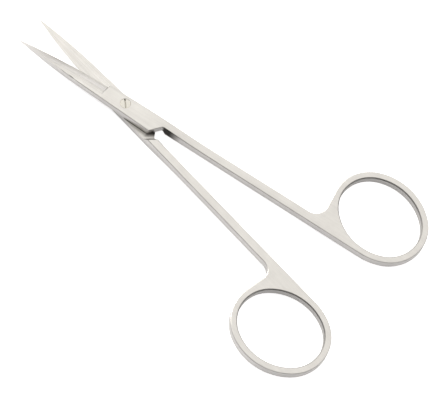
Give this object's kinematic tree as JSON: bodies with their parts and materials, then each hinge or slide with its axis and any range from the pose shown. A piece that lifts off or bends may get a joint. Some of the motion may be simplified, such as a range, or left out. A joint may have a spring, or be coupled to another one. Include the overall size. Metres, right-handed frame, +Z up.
{
  "type": "dissecting scissors",
  "caption": "Slim straight scissors with sharp points, a slotted screw lap joint and oval finger rings, lying part open.",
  "frame": {"origin": "on the pivot axis, in the plane of the flat underside of the joint on which the scissors lie", "axes": "+Z up along the pivot axis; +X from the pivot towards the tips, midway between the two blades; +Y to the left of that direction, on the side of the upper half's blade"},
  "size_m": [0.1132, 0.0646, 0.0042],
  "materials": {
    "satin_steel": "satin",
    "screw_steel": "polished"
  },
  "bodies": {
    "lower": {"lower_half": "satin_steel", "pivot_screw": "screw_steel"},
    "upper": {"upper_half": "satin_steel"}
  },
  "joints": [
    {"name": "pivot", "type": "hinge", "parent": "lower", "child": "upper", "pos_m": [0, 0, 0.0021], "axis": [0, 0, 1], "range_deg": [-14.6, 45.4]}
  ]
}
